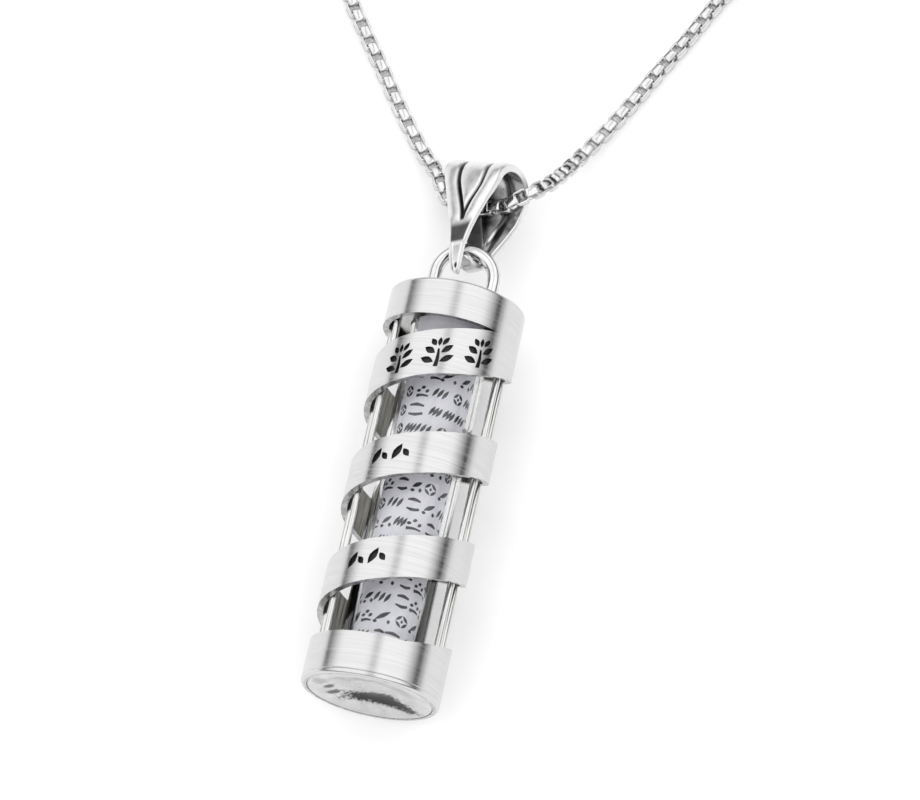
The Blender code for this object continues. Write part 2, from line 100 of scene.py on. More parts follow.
# The box chain.
LINK_SIZE = 1.1 * MM
LINK_WALL = 0.18 * MM
LINK_WIDTH = 0.66 * MM
LINK_PITCH = LINK_SIZE - 2.0 * LINK_WALL
COIL_OUTER_TURN = 9.2 * MM
COIL_INNER_TURN = 4.1 * MM
COIL_LOW = 0.6 * MM
COIL_HIGH = 1.72 * MM
LEFT_ROUTE = (
    (-0.3, 17.5, 2.98), (-1.4, 17.55, 2.5), (-2.4, 17.9, 2.3), (-3.15, 18.8, 2.05),
    (-3.75, 19.85, 1.7), (-4.3, 20.7, 1.35), (-4.85, 21.35, 1.0), (-5.95, 22.7, 0.65),
    (-7.9, 25.3, 0.6), (-9.8, 28.05, 0.6), (-11.8, 30.9, 0.6), (-13.55, 33.5, 0.6),
    (-14.8, 36.0, 0.6), (-15.4, 38.6, 0.6), (-15.6, 41.4, 0.65), (-15.5, 43.6, 0.75),
    (-15.5, 45.4, 0.8),
)
RIGHT_ROUTE = (
    (0.1, 17.5, 3.25), (1.0, 17.57, 3.75), (1.9, 17.8, 4.2), (2.7, 18.35, 4.65),
    (3.6, 19.1, 4.6), (4.5, 20.25, 3.85), (5.35, 22.0, 2.5), (6.4, 24.25, 1.3),
    (7.75, 26.85, 0.7), (9.15, 29.5, 0.6), (10.55, 32.3, 0.6), (12.05, 35.15, 0.6),
    (13.75, 38.7, 0.6), (15.35, 41.5, 0.6), (16.5, 44.2, 0.6), (16.2, 46.9, 0.6),
    (14.3, 48.6, 0.6), (11.6, 48.9, 0.6), (8.8, 48.8, 0.6), (6.9, 48.8, 0.6), (4.9, 48.8, 0.6),
)
TAIL_ROUTE = (
    (4.9, 67.2, 0.7), (6.6, 67.2, 0.75), (8.3, 67.2, 0.8),
)

# The bail's strip, in its own frame, all in millimetres and degrees: points are along, outward
# and width.
BAIL_YAW = 35.0
BAIL_DROOP = 13.0
BAIL_STRIP = 0.45
BAIL_EDGE = 0.14
BAIL_FRONT = (
    (-2.7, 0.95, 0.35), (-2.1, 1.2, 0.8), (-1.3, 1.44, 1.1), (-0.4, 1.57, 1.3),
    (0.6, 1.61, 1.7), (1.6, 1.64, 2.25), (2.6, 1.69, 2.95), (3.6, 1.76, 3.65),
    (4.6, 1.82, 4.4), (5.3, 1.86, 4.9),
)
BAIL_BACK = (
    (5.3, -1.86, 5.1), (4.6, -1.82, 4.95), (3.6, -1.76, 4.6), (2.6, -1.69, 4.0),
    (1.6, -1.64, 3.15), (0.8, -1.6, 2.2), (0.2, -1.56, 1.55),
)
BAIL_TOP_CENTRE = 5.8
BAIL_TOP_RADIUS = 1.85
BAIL_EYE = (1.2, 1.55, 1.25)
BAIL_SKEW = 0.32
BAIL_SKEW_CENTRE = -0.6

# The camera, set by its angle round the case and its distance from it.
CAMERA_AZIMUTH = 11.9
CAMERA_ELEVATION = 69.5
CAMERA_DISTANCE = 0.330
CAMERA_LENS = 180.16
CAMERA_RIGHT = 3.26 * MM
CAMERA_UP = 7.02 * MM

ORNAMENT_SEED = 11

# Steps round a full turn, and rows or columns across a sheet.
COIL_STEPS = 36
CAP_STEPS = 64
SEAT_STEPS = 72
PLATE_STEPS = 96
VIAL_STEPS = 120
DISH_STEPS = 288
DISH_ROWS = 64
BAND_ROWS = 8
BAIL_COLUMNS = 97
LOOP_SIDES = 28
SMOOTH_ANGLE = math.radians(35.0)
SMALLEST_GAP = 1e-7

# The light tent: (place, brightness) pairs by height over the floor, and across from left to right.
TENT_HEIGHT = ((0.0, 0.7), (0.05, 0.65), (0.065, 0.02), (0.18, 0.02), (0.22, 0.35), (0.34, 0.8),
               (0.55, 1.45), (1.0, 1.4))
TENT_ACROSS = ((0.0, 0.95), (0.3, 1.0), (0.42, 1.0), (0.47, 0.58), (0.51, 0.58), (0.56, 1.05),
               (1.0, 0.95))

# Noise-textured finishes: name, dark and light colour, noise scale in cycles per millimetre,
# metallic, roughness range, bump in millimetres and noise detail.
FINISHES = {
    "satin": ("silver_satin_brushed", 0.56, 0.65, (0.12, 0.12, 9.0), 1.0, (0.16, 0.25), 0.0025, 4.0),
    "inside": ("silver_drawn_inside", (0.07, 0.068, 0.06), (0.46, 0.45, 0.41), (5.0, 5.0, 0.25), 1.0,
               (0.22, 0.45), 0.02, 6.0),
    "rim": ("silver_cut_edge", 0.3, 0.62, (2.0, 2.0, 2.0), 1.0, (0.16, 0.3), 0.01, 4.0),
    "oxide": ("silver_oxide", (0.012, 0.012, 0.013), (0.05, 0.05, 0.05), (6.0, 6.0, 6.0), 0.6,
              (0.4, 0.6), 0.02, 4.0),
    "polished": ("silver_polished_plain", 0.64, 0.74, (1.2, 1.2, 1.2), 1.0, (0.06, 0.14), 0.005, 4.0),
    "wire": ("silver_drawn_wire", (0.5, 0.5, 0.49), (0.74, 0.74, 0.73), (4.0, 4.0, 0.3), 1.0,
             (0.1, 0.24), 0.01, 4.0),
    "chain": ("silver_chain_link", 0.6, 0.74, (1.6, 1.6, 1.6), 1.0, (0.08, 0.18), 0.004, 4.0),
    "steel": ("spring_steel_wire", (0.4, 0.4, 0.42), (0.6, 0.6, 0.62), (6.0, 6.0, 6.0), 1.0,
              (0.2, 0.35), 0.003, 4.0),
    "ink": ("scroll_ink_dark", (0.012, 0.012, 0.016), (0.05, 0.05, 0.06), (7.0, 7.0, 7.0), 0.0,
            (0.5, 0.7), 0.004, 4.0),
    "tarnish_and_painted_shade": ("silver_flutes_tarnish_and_painted_shade", 0.72, 0.82, (1.5, 1.5, 1.5), 1.0, (0.26, 0.36), 0.002, 4.0),
    "dish": ("silver_dish_mottle_and_painted_reflection", 0.52, 0.7, (0.8, 0.8, 0.8), 1.0, (0.24, 0.36), 0.012, 4.0),
    "glass": ("vial_glass", (0.97, 0.98, 0.98), 1.0, (2.0, 2.0, 0.05), 0.0, (0.0, 0.03), 0.0008, 4.0),
    "parchment": ("parchment_sheet_painted_glow", (0.84, 0.83, 0.9), (0.93, 0.925, 0.98), (2.5, 2.5, 1.2), 0.0,
                  (0.6, 0.75), 0.006, 8.0),
}
FLOOR_GLOW = 0.24
# Near-black that the darkness attribute blends in: tarnish in hollows, painted shade and painted
# reflections.
TARNISH_AND_PAINTED_SHADE_COLOUR = (0.02, 0.02, 0.021, 1.0)
GLASS_INDEX = 1.47


# ---- camera, floor and light

def add_camera():
    """Place the camera so that it looks down on the case and the bail."""
    azimuth = math.radians(CAMERA_AZIMUTH)
    elevation = math.radians(CAMERA_ELEVATION)
    back = Vector((math.sin(azimuth) * math.cos(elevation),
                   -math.cos(azimuth) * math.cos(elevation), math.sin(elevation)))
    right = Vector((math.cos(azimuth), math.sin(azimuth), 0.0))
    up = back.cross(right)
    target = CASE_MIDDLE + right * CAMERA_RIGHT + up * CAMERA_UP
    data = bpy.data.cameras.new("camera")
    data.lens = CAMERA_LENS
    data.sensor_width = 36.0
    data.clip_start = 0.01
    data.clip_end = 10.0
    camera = bpy.data.objects.new("camera", data)
    bpy.context.scene.collection.objects.link(camera)
    axes = Matrix((right, up, back)).transposed().to_4x4()
    camera.matrix_world = Matrix.Translation(target + back * CAMERA_DISTANCE) @ axes
    bpy.context.scene.camera = camera


def add_floor():
    """Make the plain white table, which glows a little like a light table."""
    mesh = bpy.data.meshes.new("floor")
    bm = bmesh.new()
    bmesh.ops.create_grid(bm, x_segments=2, y_segments=2, size=1.5)
    bm.to_mesh(mesh)
    bm.free()
    material = bpy.data.materials.new("floor_white")
    material.use_nodes = True
    shader = material.node_tree.nodes["Principled BSDF"]
    set_inputs(shader, {"Base Color": (0.82, 0.82, 0.82, 1.0), "Roughness": 0.9,
                        "Specular IOR Level": 0.1, "Emission Color": (1.0, 1.0, 1.0, 1.0),
                        "Emission Strength": FLOOR_GLOW})
    mesh.materials.append(material)
    floor = bpy.data.objects.new("floor", mesh)
    floor.location.z = -0.05 * MM
    bpy.context.scene.collection.objects.link(floor)


def add_world():
    """Make a light tent: bright sides and top, a dim seam overhead and a dark seam low down."""
    world = bpy.data.worlds.new("tent")
    bpy.context.scene.world = world
    world.use_nodes = True
    nodes = world.node_tree.nodes
    links = world.node_tree.links
    nodes.clear()
    coordinates = nodes.new("ShaderNodeTexCoord")
    axes = nodes.new("ShaderNodeSeparateXYZ")
    links.new(coordinates.outputs["Generated"], axes.inputs["Vector"])

    tilt = nodes.new("ShaderNodeMath")
    tilt.operation = "MULTIPLY_ADD"
    tilt.inputs[1].default_value = -0.1
    links.new(axes.outputs["X"], tilt.inputs[0])
    links.new(axes.outputs["Z"], tilt.inputs[2])
    height = nodes.new("ShaderNodeValToRGB")
    fill_ramp(height, TENT_HEIGHT)
    links.new(tilt.outputs["Value"], height.inputs["Fac"])

    side = nodes.new("ShaderNodeMapRange")
    set_inputs(side, {"From Min": -1.0, "From Max": 1.0})
    links.new(axes.outputs["X"], side.inputs["Value"])
    seam = nodes.new("ShaderNodeValToRGB")
    fill_ramp(seam, TENT_ACROSS)
    links.new(side.outputs["Result"], seam.inputs["Fac"])

    both = nodes.new("ShaderNodeMix")
    both.data_type = "RGBA"
    both.blend_type = "MULTIPLY"
    both.inputs["Factor"].default_value = 1.0
    links.new(height.outputs["Color"], both.inputs["A"])
    links.new(seam.outputs["Color"], both.inputs["B"])
    tent = nodes.new("ShaderNodeBackground")
    tent.inputs["Strength"].default_value = 1.0
    links.new(both.outputs["Result"], tent.inputs["Color"])
    plain = nodes.new("ShaderNodeBackground")
    plain.inputs["Color"].default_value = (1.0, 1.0, 1.0, 1.0)
    ray = nodes.new("ShaderNodeLightPath")
    choice = nodes.new("ShaderNodeMixShader")
    links.new(ray.outputs["Is Camera Ray"], choice.inputs["Fac"])
    links.new(tent.outputs["Background"], choice.inputs[1])
    links.new(plain.outputs["Background"], choice.inputs[2])
    output = nodes.new("ShaderNodeOutputWorld")
    links.new(choice.outputs["Shader"], output.inputs["Surface"])
    bpy.context.scene.view_settings.view_transform = "Standard"


def set_inputs(node, values):
    """Set a node's inputs by slot."""
    for slot, value in values.items():
        node.inputs[slot].default_value = value


def fill_ramp(node, stops):
    """Set a colour ramp's stops from (place, grey level or colour) pairs."""
    ramp = node.color_ramp
    while len(ramp.elements) > 1:
        ramp.elements.remove(ramp.elements[-1])
    for index, (place, value) in enumerate(stops):
        element = ramp.elements[0] if index == 0 else ramp.elements.new(place)
        element.position = place
        colour = (value, value, value) if isinstance(value, float) else value
        element.color = (*colour, 1.0)


# ---- materials

def textured_material(name, dark, light, scale, metallic, roughness, bump, detail):
    """Return a Principled material whose colour, roughness and bump follow a stretched noise."""
    material = bpy.data.materials.new(name)
    material.use_nodes = True
    nodes = material.node_tree.nodes
    links = material.node_tree.links
    shader = nodes["Principled BSDF"]
    shader.inputs["Metallic"].default_value = metallic
    coordinates = nodes.new("ShaderNodeTexCoord")
    stretch = nodes.new("ShaderNodeMapping")
    stretch.inputs["Scale"].default_value = tuple(value / MM for value in scale)
    links.new(coordinates.outputs["Object"], stretch.inputs["Vector"])
    grain = nodes.new("ShaderNodeTexNoise")
    set_inputs(grain, {"Scale": 1.0, "Detail": detail, "Roughness": 0.6})
    links.new(stretch.outputs["Vector"], grain.inputs["Vector"])
    colours = nodes.new("ShaderNodeValToRGB")
    fill_ramp(colours, ((0.3, dark), (0.7, light)))
    links.new(grain.outputs["Fac"], colours.inputs["Fac"])
    links.new(colours.outputs["Color"], shader.inputs["Base Color"])
    gloss = nodes.new("ShaderNodeMapRange")
    set_inputs(gloss, {"From Min": 0.3, "From Max": 0.7, "To Min": roughness[0],
                       "To Max": roughness[1]})
    links.new(grain.outputs["Fac"], gloss.inputs["Value"])
    links.new(gloss.outputs["Result"], shader.inputs["Roughness"])
    relief = nodes.new("ShaderNodeBump")
    relief.inputs["Strength"].default_value = 1.0
    relief.inputs["Distance"].default_value = bump * MM
    links.new(grain.outputs["Fac"], relief.inputs["Height"])
    links.new(relief.outputs["Normal"], shader.inputs["Normal"])
    return material


def add_tarnish_and_painted_shade(material):
    """Make a material's darkness attribute blend its colour toward near-black: tarnish in hollows,
    plus painted shade and painted reflections.
    """
    nodes = material.node_tree.nodes
    links = material.node_tree.links
    shader = nodes["Principled BSDF"]
    clean = shader.inputs["Base Color"].links[0].from_socket
    amount = nodes.new("ShaderNodeAttribute")
    amount.attribute_name = "tarnish_and_painted_shade"
    blend = nodes.new("ShaderNodeMix")
    blend.data_type = "RGBA"
    links.new(amount.outputs["Fac"], blend.inputs["Factor"])
    links.new(clean, blend.inputs["A"])
    blend.inputs["B"].default_value = TARNISH_AND_PAINTED_SHADE_COLOUR
    links.new(blend.outputs["Result"], shader.inputs["Base Color"])


def make_materials():
    """Make every material once and return them by name."""
    made = {finish: textured_material(*values) for finish, values in FINISHES.items()}
    add_tarnish_and_painted_shade(made["tarnish_and_painted_shade"])
    add_tarnish_and_painted_shade(made["dish"])
    # Glass passes light; the parchment gets a faint emission, a painted glow that lightens the rolled
    # sheet.
    for finish, inputs in (
        ("glass", {"Transmission Weight": 1.0, "IOR": GLASS_INDEX}),
        ("parchment", {"Emission Color": (0.92, 0.91, 1.0, 1.0), "Emission Strength": 0.1}),
    ):
        set_inputs(made[finish].node_tree.nodes["Principled BSDF"], inputs)
    return made


# ---- mesh helpers

def add_piece(name, mesh, place, body, materials, nodes):
    """Link a mesh as a piece of the object that rides on a body and stands for CAD nodes."""
    obj = bpy.data.objects.new(name, mesh)
    bpy.context.scene.collection.objects.link(obj)
    obj.matrix_world = place
    for material in materials:
        mesh.materials.append(material)
    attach(obj, body)
    if nodes:
        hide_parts(*nodes)
    return obj


def mesh_from(name, vertices, faces):
    """Return a mesh with merged points, outward faces and sharp corners."""
    mesh = bpy.data.meshes.new(name)
    mesh.from_pydata([tuple(point) for point in vertices], [], faces)
    bm = bmesh.new()
    bm.from_mesh(mesh)
    bmesh.ops.remove_doubles(bm, verts=bm.verts, dist=1e-8)
    bmesh.ops.recalc_face_normals(bm, faces=bm.faces)
    bm.to_mesh(mesh)
    bm.free()
    mesh.shade_smooth()
    mesh.set_sharp_from_angle(angle=SMOOTH_ANGLE)
    return mesh


def add_bevel(obj, width):
    """Round an object's corners."""
    bevel = obj.modifiers.new("Round", "BEVEL")
    bevel.width = width
    bevel.segments = 2
    bevel.limit_method = "ANGLE"
    bevel.angle_limit = SMOOTH_ANGLE
    bevel.harden_normals = True


def lathe_mesh(name, profile, steps, closed=False):
    """Turn (radius, height) points about Z; a closed profile makes a ring."""
    vertices = []
    rings = []
    for radius, height in profile:
        if radius < SMALLEST_GAP:
            rings.append([len(vertices)] * steps)
            vertices.append(Vector((0.0, 0.0, height)))
            continue
        rings.append(list(range(len(vertices), len(vertices) + steps)))
        for step in range(steps):
            angle = 2.0 * math.pi * step / steps
            vertices.append(Vector((radius * math.cos(angle), radius * math.sin(angle), height)))
    pairs = list(zip(rings, rings[1:]))
    if closed:
        pairs.append((rings[-1], rings[0]))
    faces = []
    for lower, upper in pairs:
        for step in range(steps):
            following = (step + 1) % steps
            corners = (lower[step], lower[following], upper[following], upper[step])
            face = list(dict.fromkeys(corners))
            if len(face) > 2:
                faces.append(face)
    return mesh_from(name, vertices, faces)


def grid_faces(rows, columns, base=0, wraps=True, closed=False):
    """Return the quads between rows of points; wraps joins a row's ends, closed the last row's."""
    faces = []
    for row in range(rows if closed else rows - 1):
        here = base + row * columns
        there = base + (row + 1) % rows * columns
        for column in range(columns if wraps else columns - 1):
            following = (column + 1) % columns
            faces.append((here + column, here + following, there + following, there + column))
    return faces


def flipped(faces):
    """Return four-sided faces turned the other way."""
    return [(a, d, c, b) for a, b, c, d in faces]


def levels_between(low, high, parts):
    """Return evenly spaced values from low to high."""
    return [low + (high - low) * part / parts for part in range(parts + 1)]


def end_faces(rows, columns):
    """Return the two faces that close the ends of a tube of rows."""
    return [tuple(reversed(range(columns))), tuple(range((rows - 1) * columns, rows * columns))]


def tube_data(points, radius, sides, closed=False):
    """Return the vertices and faces of a round tube along points."""
    vertices = []
    normal = None
    count = len(points)
    for index, point in enumerate(points):
        before = points[index - 1] if index or closed else points[0]
        after = points[(index + 1) % count] if index < count - 1 or closed else points[-1]
        tangent = (after - before).normalized()
        if normal is None:
            normal = tangent.orthogonal().normalized()
        normal = (normal - tangent * normal.dot(tangent)).normalized()
        across = tangent.cross(normal)
        for side in range(sides):
            angle = 2.0 * math.pi * side / sides
            vertices.append(point + (normal * math.cos(angle) + across * math.sin(angle)) * radius)
    faces = grid_faces(count, sides, closed=closed)
    return vertices, faces if closed else faces + end_faces(count, sides)


def arc_points(radius, start, end, steps):
    """Return points on an arc about the origin in the XY plane, angles in degrees."""
    angles = [math.radians(start + (end - start) * index / steps) for index in range(steps + 1)]
    return [Vector((radius * math.cos(angle), radius * math.sin(angle), 0.0)) for angle in angles]


def smooth_points(points, steps):
    """Return a smooth curve through points, with a number of steps between two of them."""
    knots = [Vector(point) for point in points]
    knots = [2.0 * knots[0] - knots[1]] + knots + [2.0 * knots[-1] - knots[-2]]
    fine = []
    for index in range(1, len(knots) - 2):
        before, start, end, after = knots[index - 1:index + 3]
        for step in range(steps):
            t = step / steps
            fine.append(0.5 * (2.0 * start + (end - before) * t
                               + (2.0 * before - 5.0 * start + 4.0 * end - after) * t ** 2
                               + (3.0 * start - before - 3.0 * end + after) * t ** 3))
    fine.append(knots[-2])
    return fine


def even_points(points, spacing):
    """Return points at an even spacing along a fine polyline, and the polyline's length."""
    lengths = [0.0]
    for start, end in zip(points, points[1:]):
        lengths.append(lengths[-1] + (end - start).length)
    count = max(2, round(lengths[-1] / spacing))
    even = []
    cursor = 0
    for index in range(count + 1):
        target = lengths[-1] * index / count
        while cursor < len(lengths) - 2 and lengths[cursor + 1] < target:
            cursor += 1
        share = (target - lengths[cursor]) / (lengths[cursor + 1] - lengths[cursor])
        even.append(points[cursor].lerp(points[cursor + 1], min(share, 1.0)))
    return even, lengths[-1]


def ease(value):
    """Return a smooth 0 to 1 step."""
    value = min(max(value, 0.0), 1.0)
    return value * value * (3.0 - 2.0 * value)


# ---- chain

def coil_points():
    """Return the chain's way round the coil: inward on the table, then outward on top."""
    low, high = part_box("chain_coil")
    centre = (low + high) / 2.0
    points = []
    for index in range(round((TURNS_IN + TURNS_OUT) * COIL_STEPS) + 1):
        turn = index / COIL_STEPS
        if turn < TURNS_IN:
            radius = COIL_OUTER_TURN + (COIL_INNER_TURN - COIL_OUTER_TURN) * turn / TURNS_IN
        else:
            radius = COIL_INNER_TURN + ((COIL_OUTER_TURN - COIL_INNER_TURN)
                                        * (turn - TURNS_IN) / TURNS_OUT)
        rise = ease((turn - TURNS_IN + 0.3) / 0.6)
        angle = math.radians(-90.0) - 2.0 * math.pi * turn
        points.append(Vector((centre.x + radius * math.cos(angle), centre.y + radius * math.sin(angle),
                              COIL_LOW + (COIL_HIGH - COIL_LOW) * rise)))
    return points


def right_chain_points():
    """Return the right run's whole way: over the table, round the coil and out to its cap."""
    route = [point * MM for point in smooth_points(RIGHT_ROUTE, 20)]
    coil = coil_points()
    tail = [point * MM for point in smooth_points(TAIL_ROUTE, 10)]
    leave = []
    for step in range(1, 12):
        share = step / 12.0
        point = coil[-1].lerp(tail[0], share)
        point.z = coil[-1].z + (tail[0].z - coil[-1].z) * ease(share)
        leave.append(point)
    return route + coil + leave + tail


def link_template():
    """Return one link's vertices and faces: a ring of flat strip, its axis along Z."""
    half = LINK_SIZE / 2.0
    corner = 0.24 * MM
    outline = []
    for quarter in range(4):
        base = math.radians(90.0 * quarter)
        centre = Vector((math.cos(base + math.pi / 4.0), math.sin(base + math.pi / 4.0)))
        centre = centre.normalized() * ((half - corner) * math.sqrt(2.0))
        for step in range(5):
            angle = base + math.radians(22.5 * step)
            outline.append((centre, Vector((math.cos(angle), math.sin(angle))) * corner))
    soft = 0.05 * MM
    wide = LINK_WIDTH / 2.0
    section = ((0.0, wide - soft), (-soft, wide), (-LINK_WALL + soft, wide), (-LINK_WALL, wide - soft),
               (-LINK_WALL, -wide + soft), (-LINK_WALL + soft, -wide), (-soft, -wide),
               (0.0, -wide + soft))
    vertices = []
    for centre, arm in outline:
        for depth, level in section:
            flat = centre + arm * ((corner + depth) / corner)
            vertices.append((flat.x, flat.y, level))
    return np.array(vertices), flipped(grid_faces(len(outline), len(section), closed=True))


def chain_mesh(name, points, first, twist):
    """String box links along a way; twist gives the chain's roll in degrees at a share of it."""
    template, template_faces = link_template()
    path, length = even_points(points, 0.1 * MM)
    step = length / (len(path) - 1)
    places = []
    distance = first
    while distance < length:
        places.append(distance)
        distance += LINK_PITCH
    up = Vector((0.0, 0.0, 1.0))
    vertices, faces = [], []
    for number, distance in enumerate(places):
        index = min(max(round(distance / step), 1), len(path) - 2)
        tangent = (path[index + 1] - path[index - 1]).normalized()
        across = up.cross(tangent).normalized()
        above = tangent.cross(across)
        roll = math.radians(twist(distance) + (90.0 if number % 2 else 0.0))
        side = across * math.cos(roll) + above * math.sin(roll)
        axis = tangent.cross(side)
        turn = np.array((tangent, side, axis)).T
        placed = template @ turn.T + np.array(path[index])
        base = len(vertices) * len(template)
        vertices.append(placed)
        faces.extend(tuple(base + corner for corner in face) for face in template_faces)
    mesh = bpy.data.meshes.new(name)
    mesh.from_pydata(np.concatenate(vertices).tolist(), [], faces)
    mesh.shade_smooth()
    mesh.set_sharp_from_angle(angle=math.radians(50.0))
    return mesh, length


def add_end_fittings(materials):
    """Make the two crimped end caps and the catch ring; return them by their CAD node."""
    cap = [(0.0, 0.0), (0.62, 0.0), (0.74, 0.04), (0.8, 0.14), (0.8, 0.5), (0.76, 0.56), (0.76, 0.62),
           (0.8, 0.68), (0.8, 1.8), (0.76, 1.86), (0.76, 1.92), (0.8, 1.98), (0.8, 2.2), (0.72, 2.38),
           (0.58, 2.52), (0.42, 2.6), (0.0, 2.6)]
    made = {}
    for name, node, turn in (("chain_cap_left", "end_cap_left", 0.0),
                             ("chain_cap_right", "end_cap_right", -math.pi / 2.0)):
        low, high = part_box(node)
        middle = (low + high) / 2.0
        heading = Matrix.Rotation(turn, 4, "Z") @ Matrix.Rotation(-math.pi / 2.0, 4, "X")
        place = Matrix.Translation(middle) @ heading @ Matrix.Translation((0.0, 0.0, -1.3 * MM))
        mesh = lathe_mesh(name, [(radius * MM, height * MM) for radius, height in cap], CAP_STEPS)
        made[node] = add_piece(name, mesh, place, "chain_and_bail",
                               [materials["polished"]], [node])
    low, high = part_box("catch_ring")
    wire = (high.z - low.z) / 2.0
    points = arc_points((high.x - low.x) / 2.0 - wire, 0.0, 360.0, 96)[:-1]
    vertices, faces = tube_data(points, wire, 24, closed=True)
    made["catch_ring"] = add_piece("catch_ring_wire", mesh_from("catch_ring_wire", vertices, faces),
                                   Matrix.Translation((low + high) / 2.0), "chain_and_bail",
                                   [materials["polished"]], ["catch_ring"])
    return made


def add_chains(materials, fittings):
    left = [point * MM for point in smooth_points(LEFT_ROUTE, 20)]
    right = right_chain_points()
    runs = (
        ("chain_links_left", left, 0.0, lambda at: 8.0 * math.sin(at / (9.0 * MM)), ("chain_left",),
         ("end_cap_left", "clasp_ring", "clasp_bolt", "clasp_spring")),
        ("chain_links_right", right, 0.26 * MM,
         lambda at: (4.0 - 22.0 * ease((at - 9.0 * MM) / (14.0 * MM))
                     + 22.0 * ease((at - 30.0 * MM) / (20.0 * MM))),
         ("chain_right", "chain_coil", "chain_tail"), ("end_cap_right", "catch_ring")),
    )
    for name, points, first, twist, nodes, others in runs:
        mesh, length = chain_mesh(name, points, first, twist)
        piece = add_piece(name, mesh, Matrix.Identity(4), "chain_and_bail",
                          [materials["chain"]], nodes)


# ---- case

def band_edges(angle):
    """Return the band's lower and upper edge heights at an angle in degrees from the top."""
    middle = BAND_MIDDLE_AT_ZERO + BAND_PITCH * angle / 360.0
    wide = ease((angle - 430.0) / 130.0) * (1.0 - ease((angle - 745.0) / 60.0))
    wobble = 0.05 * MM * noise.noise(Vector((angle / 37.0, 0.0, 2.5)))
    wobble_low = 0.05 * MM * noise.noise(Vector((angle / 29.0, 7.0, 0.0)))
    low = middle - BAND_HEIGHT / 2.0 - 0.3 * MM * wide + wobble_low
    high = middle + BAND_HEIGHT / 2.0 + 0.08 * MM * wide + wobble
    return low, high


def case_point(angle, height, radius):
    """Return a point of the case in its own frame, angle in degrees from the top."""
    local = math.radians(angle - 90.0)
    return Vector((radius * math.cos(local), radius * math.sin(local), height))


def shell_sheet():
    """Return the outer skin of the case: two collars and the band that winds between them."""
    columns = round(360.0 / COLUMN_STEP)
    ceiling = CASE_LENGTH - TOP_COLLAR
    vertices, faces = [], []

    def add_strip(column_list, heights, wraps):
        base = len(vertices)
        for column, levels in zip(column_list, heights):
            for level in levels:
                vertices.append(case_point(column * COLUMN_STEP, level, CASE_RADIUS))
        faces.extend(flipped(grid_faces(len(column_list), len(heights[0]), base, False, wraps)))

    around = list(range(columns))
    seam = [0.0, SEAM_HEIGHT - SEAM_GROOVE, SEAM_HEIGHT, SEAM_HEIGHT + SEAM_GROOVE]
    add_strip(around, [seam + levels_between(0.6 * MM, BOTTOM_COLLAR, 6)] * columns, True)
    add_strip(around, [levels_between(ceiling, CASE_LENGTH, BAND_ROWS)] * columns, True)
    winding, heights = [], []
    for column in range(-2 * columns, 4 * columns):
        low, high = band_edges(column * COLUMN_STEP)
        low = min(max(low, BOTTOM_COLLAR), ceiling)
        high = min(max(high, BOTTOM_COLLAR), ceiling)
        is_closed = high - low < SMALLEST_GAP
        if is_closed and not (winding and heights[-1][-1] - heights[-1][0] > SMALLEST_GAP):
            winding, heights = [column], [levels_between(low, low, BAND_ROWS)]
            continue
        winding.append(column)
        heights.append(levels_between(low, max(high, low), BAND_ROWS))
        if is_closed:
            break
    add_strip(winding, heights, False)
    return vertices, faces


def solids_mesh(bm, name):
    """Return a bmesh's closed solids as a mesh with outward faces."""
    bmesh.ops.recalc_face_normals(bm, faces=bm.faces)
    mesh = bpy.data.meshes.new(name)
    bm.to_mesh(mesh)
    bm.free()
    return mesh


def stroke(points, widths):
    """Return the left and right edges of a pen stroke or chisel cut along flat points."""
    line = smooth_points([(x, y, 0.0) for x, y in points], 6)
    edges = []
    for index, point in enumerate(line):
        before, after = line[max(index - 1, 0)], line[min(index + 1, len(line) - 1)]
        along = (after - before).normalized()
        place = index / (len(line) - 1) * (len(widths) - 1)
        first = min(int(place), len(widths) - 2)
        width = widths[first] + (widths[first + 1] - widths[first]) * (place - first)
        side = Vector((-along.y, along.x, 0.0)) * (width / 2.0)
        edges.append((point + side, point - side))
    return edges


def lens(length, width, turn, centre):
    """Return the two edges of a leaf with pointed ends."""
    along = Vector((math.cos(math.radians(turn)), math.sin(math.radians(turn)))) * (length / 2.0)
    middle = Vector(centre)
    ends = [middle - along, middle - along * 0.5, middle, middle + along * 0.5, middle + along]
    return stroke(ends, (0.03, width * 0.72, width, width * 0.72, 0.03))


def wrapped_stroke(bm, edges, angle, height, inner, outer, slope=0.0):
    """Add a closed solid to bm: a stroke in millimetres wrapped round the case's axis."""
    arc = math.degrees(1.0 * MM / outer)
    rings = []
    for pair in edges:
        ring = []
        for point, radius in ((pair[0], inner), (pair[1], inner), (pair[1], outer), (pair[0], outer)):
            level = height + (point.y + point.x * slope) * MM
            ring.append(bm.verts.new(case_point(angle + point.x * arc, level, radius)))
        rings.append(ring)
    for lower, upper in zip(rings, rings[1:]):
        for side in range(4):
            following = (side + 1) % 4
            bm.faces.new((lower[side], lower[following], upper[following], upper[side]))
    bm.faces.new(list(reversed(rings[0])))
    bm.faces.new(rings[-1])


def sprig():
    """Return the strokes of one engraved sprig: a stem, three pairs of leaves and a bud."""
    marks = [stroke([(0.0, -1.15), (0.05, -0.6), (0.04, -0.2), (0.0, 0.25)], (0.34, 0.28, 0.22, 0.14))]
    for level, length, width, tilt in ((-0.78, 1.06, 0.52, 24.0), (-0.08, 0.96, 0.5, 34.0),
                                       (0.5, 0.7, 0.4, 54.0)):
        reach = 0.22 + length / 2.0 * math.cos(math.radians(tilt))
        rise = level + length / 2.0 * math.sin(math.radians(tilt))
        marks.append(lens(length, width, tilt, (reach, rise)))
        marks.append(lens(length, width, 180.0 - tilt, (-reach, rise)))
    marks.append(lens(0.66, 0.34, 90.0, (0.0, 0.78)))
    return marks


